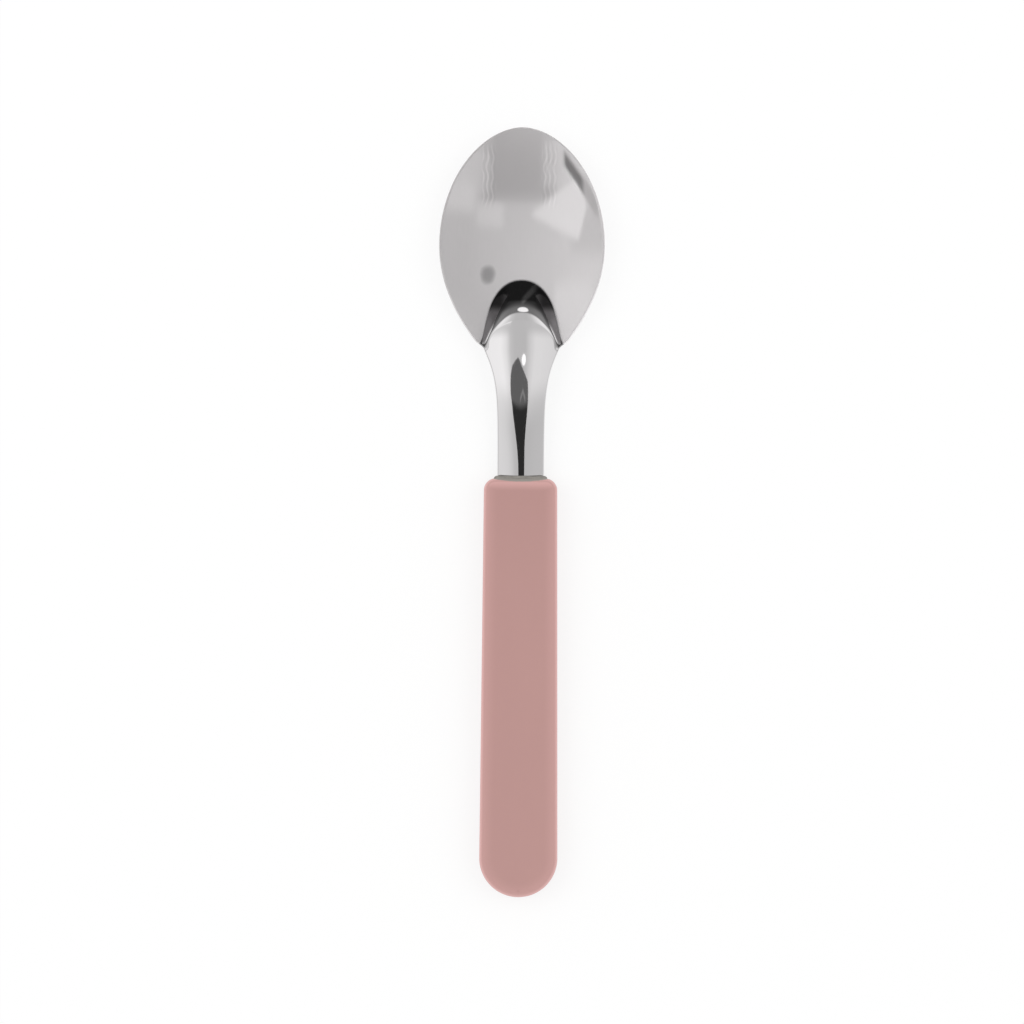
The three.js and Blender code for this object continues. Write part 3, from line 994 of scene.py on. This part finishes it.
def seen_directly(tree):
    """1 for what the camera sees itself or through a mirror or glass."""
    rays = ("Is Camera Ray", "Is Glossy Ray", "Is Transmission Ray")
    camera, glossy, through = tree.add("ShaderNodeLightPath", take=rays)
    return camera.at_least(glossy).at_least(through)


def card_points(places, height):
    """The points of a level card in metres, from places in mm."""
    return [(x / 1000, y / 1000, height) for x, y in places]


# The outline of the dark leaf over the neck, in mm from the middle of the spoon.
LEAF = (
    (-3.4, 28.2), (-6, 27.4), (-10.1, 25.3), (-12.5, 22.3), (-13.8, 19.1), (-14.6, 15.8), (-14.1, 13.4),
    (-14, 11.4), (-13, 9.2), (-11.3, 6.9), (-9.4, 4.8), (-7.8, 2.4), (-7.2, -4), (11.8, -4), (10.7, 3.1),
    (9.8, 6), (10.2, 8.8), (10.9, 11.6), (10.7, 14.7), (9.7, 17.9), (8.3, 20.8), (4.3, 23.3), (0.3, 25.8),
    (-2, 27.6),
)
LEAF_HEIGHT = 0.03


class TEASPOON_OT_stage(bpy.types.Operator):
    """Set up the camera, the soft lamps, the white floor and the studio that the steel mirrors"""

    bl_idname = "teaspoon.stage"
    bl_label = "Set the stage"

    def execute(self, context):
        scene = context.scene
        settings = scene.teaspoon.stage
        scene.view_settings.view_transform = "Standard"
        self.add_world(scene, settings)
        self.add_camera(scene, settings)
        lamp_size, right_share = 1.2, 0.8
        self.add_lamp(scene, "lamp_left", (-1.1, 0.3, 1.3), lamp_size, settings.lamp_power)
        self.add_lamp(scene, "lamp_right", (1.1, 0.2, 1.3), lamp_size, settings.lamp_power * right_share)
        self.add_floor()
        self.add_dome(settings)
        self.add_front_card()
        self.add_neck_leaf()
        self.add_neck_shade()
        return {"FINISHED"}

    def add_world(self, scene, settings):
        world = bpy.data.worlds.new("plain_light")
        world.use_nodes = True
        world.node_tree.nodes.clear()
        scene.world = world
        tree = Tree(world.node_tree)
        strength = settings.world_strength + seen_directly(tree) * (1 - settings.world_strength)
        light = tree.add("ShaderNodeBackground", {}, {"Color": (1, 1, 1, 1), "Strength": strength})
        tree.add("ShaderNodeOutputWorld", {}, {"Surface": light})

    def add_camera(self, scene, settings):
        camera = bpy.data.cameras.new("camera")
        camera.lens = settings.focal_length
        camera.clip_start = 0.01
        camera.clip_end = 50
        stand = bpy.data.objects.new("camera", camera)
        distance = settings.frame_width * camera.lens / camera.sensor_width
        spoon_height = 0.004
        stand.location = (-settings.sideways, 0, distance + spoon_height)
        stand.rotation_euler = (0, 0, settings.roll)
        scene.collection.objects.link(stand)
        scene.camera = stand

    def add_lamp(self, scene, name, place, size, power):
        lamp = bpy.data.lights.new(name, "AREA")
        lamp.size = size
        lamp.energy = power
        stand = bpy.data.objects.new(name, lamp)
        stand.location = place
        x, y, z = place
        stand.rotation_euler = (math.atan2(math.hypot(x, y), z), 0, math.atan2(x, -y))
        stand.visible_glossy = False
        scene.collection.objects.link(stand)

    def add_floor(self):
        reach, clearance = 9, 0.00002
        low = FLOOR_HEIGHT - clearance
        points = [(-reach, -reach, low), (reach, -reach, low), (reach, reach, low), (-reach, reach, low)]
        make_object("floor", points, [[0, 1, 2, 3]], floor_material(), smooth=False)

    def add_dome(self, settings):
        """Rings of points round the spoon, from straight overhead to a little below its level."""
        rings, around, lowest = 24, 48, 0.55 * math.pi
        points = [(0, 0, settings.dome_radius)]
        for ring in range(1, rings + 1):
            polar = lowest * ring / rings
            reach = math.sin(polar) * settings.dome_radius
            for turn in np.linspace(0, 2 * math.pi, around, endpoint=False):
                height = math.cos(polar) * settings.dome_radius
                points.append((reach * math.cos(turn), reach * math.sin(turn), height))
        faces = [[0, 1 + (place + 1) % around, 1 + place] for place in range(around)]
        faces += quads_between(rings, around, first=1)
        only_in_mirrors(make_object("studio_dome", points, faces, dome_material()))

    def add_front_card(self):
        """A low dark card that stands round the front of the bowl."""
        reach, height, middle, places = 0.1, 0.02, 0.03, 49
        turns = np.linspace(math.radians(-12), math.radians(192), places)
        points = [(reach * math.cos(turn), middle + reach * math.sin(turn), FLOOR_HEIGHT) for turn in turns]
        points += [(x, y, FLOOR_HEIGHT + height) for x, y, _ in points]
        faces = [[place + 1, place, place + places, place + places + 1] for place in range(places - 1)]
        material, tree = glowing_material("dark_card")
        east, _, _ = tree.split(tree.place())
        dark, paler_at_sides = 0.06, 0.1
        finish_material(tree, tree.glow(abs(east).smooth(0.05, 0.07) * paler_at_sides + dark))
        only_in_mirrors(make_object("front_card", points, faces, material))

    def add_neck_leaf(self):
        """A small dark leaf with a faint chevron, and a small lamp beside its tip, close over the neck."""
        middle_x, middle_y, half_width, half_length = 2.7, 27.5, 2.2, 1.8
        turns = np.linspace(0, 2 * math.pi, 16, endpoint=False)
        lamp = [
            (middle_x + half_width * math.cos(turn), middle_y + half_length * math.sin(turn))
            for turn in turns
        ]
        points = card_points([*LEAF, *lamp], LEAF_HEIGHT)
        faces = [list(range(len(LEAF))), list(range(len(LEAF), len(points)))]
        material, tree = glowing_material("neck_leaf")
        east, north, _ = tree.split(tree.place())
        chevron_east, chevron_north, slant = 0.0025, 0.018, 0.7
        aside = abs(east - chevron_east)
        chevron = abs(north + aside * slant - chevron_north).smooth(0.0012, 0.0004)
        chevron = chevron * aside.smooth(0.005, 0.003)
        lit = ((east - middle_x / 1000) / 0.0024) ** 2 + ((north - middle_y / 1000) / 0.002) ** 2
        tone = north.smooth(0.0128, 0.0148) * 0.11 + 0.03 + chevron * 0.12 + lit.smooth(1.05, 1) * 1.2
        finish_material(tree, tree.glow(tone))
        only_in_mirrors(make_object("neck_leaf", points, faces, material))

    def add_neck_shade(self):
        """A pale card behind the dark leaf, dim in its middle and at its rear. It fades out to the front."""
        half, gap = 34, 0.0002
        ends = ((-half, -12), (half, -12), (half, 39), (-half, 39))
        material, tree = glowing_material("neck_shade")
        east, north, _ = tree.split(tree.place())
        rear = tree.levels(
            east * 1000, half, (-29, 0.84), (-25, 0.8), (-20, 0.7), (-17, 0.64), (-13, 0.61), (13, 0.59),
            (20, 0.6), (30, 0.63),
        )
        front = tree.levels(
            east * 1000, half, (-34, 1.04), (-20, 1.07), (-15, 0.93), (-11, 0.68), (-7, 0.615), (4, 0.6),
            (9, 0.76), (14, 0.88), (20, 0.88), (30, 0.84),
        )
        light = tree.glow(rear + (front - rear) * north.smooth(0.007, 0.021))
        clear = tree.add("ShaderNodeBsdfTransparent")
        sockets = {0: north.smooth(0.038, 0.034), 1: clear, 2: light}
        finish_material(tree, tree.add("ShaderNodeMixShader", {}, sockets))
        points = card_points(ends, LEAF_HEIGHT + gap)
        only_in_mirrors(make_object("neck_shade", points, [[0, 1, 2, 3]], material))


def only_in_mirrors(piece):
    """Leaves the piece to mirror light alone: no other light meets it, and the camera doesn't see it."""
    piece.visible_camera = False
    piece.visible_diffuse = False
    piece.visible_transmission = False
    piece.visible_volume_scatter = False
    piece.visible_shadow = False


class TEASPOON_PT_panel(bpy.types.Panel):
    """Lists the steps that build the teaspoon, and its sizes"""

    bl_idname = "TEASPOON_PT_panel"
    bl_label = "Teaspoon"
    bl_space_type = "VIEW_3D"
    bl_region_type = "UI"
    bl_category = "Teaspoon"

    def draw(self, context):
        settings = context.scene.teaspoon
        for operator in OPERATORS:
            self.layout.operator(operator.bl_idname)
        for group in (settings.head, settings.handle, settings.finishes, settings.stage):
            box = self.layout.box()
            for name in group.bl_rna.properties.keys():
                if name not in ("rna_type", "name"):
                    box.prop(group, name)


GROUPS = (HeadSizes, HandleSizes, Finishes, StageSettings, TeaspoonSettings)
OPERATORS = (TEASPOON_OT_stage, TEASPOON_OT_head, TEASPOON_OT_handle, TEASPOON_OT_resin)
CLASSES = (*GROUPS, *OPERATORS, TEASPOON_PT_panel)


def register():
    for cls in CLASSES:
        bpy.utils.register_class(cls)
    bpy.types.Scene.teaspoon = PointerProperty(type=TeaspoonSettings)


def unregister():
    del bpy.types.Scene.teaspoon
    for cls in reversed(CLASSES):
        bpy.utils.unregister_class(cls)


def main():
    register()
    bpy.ops.teaspoon.stage()
    bpy.ops.teaspoon.head()
    bpy.ops.teaspoon.handle()
    bpy.ops.teaspoon.resin()


if __name__ == "__main__":
    main()
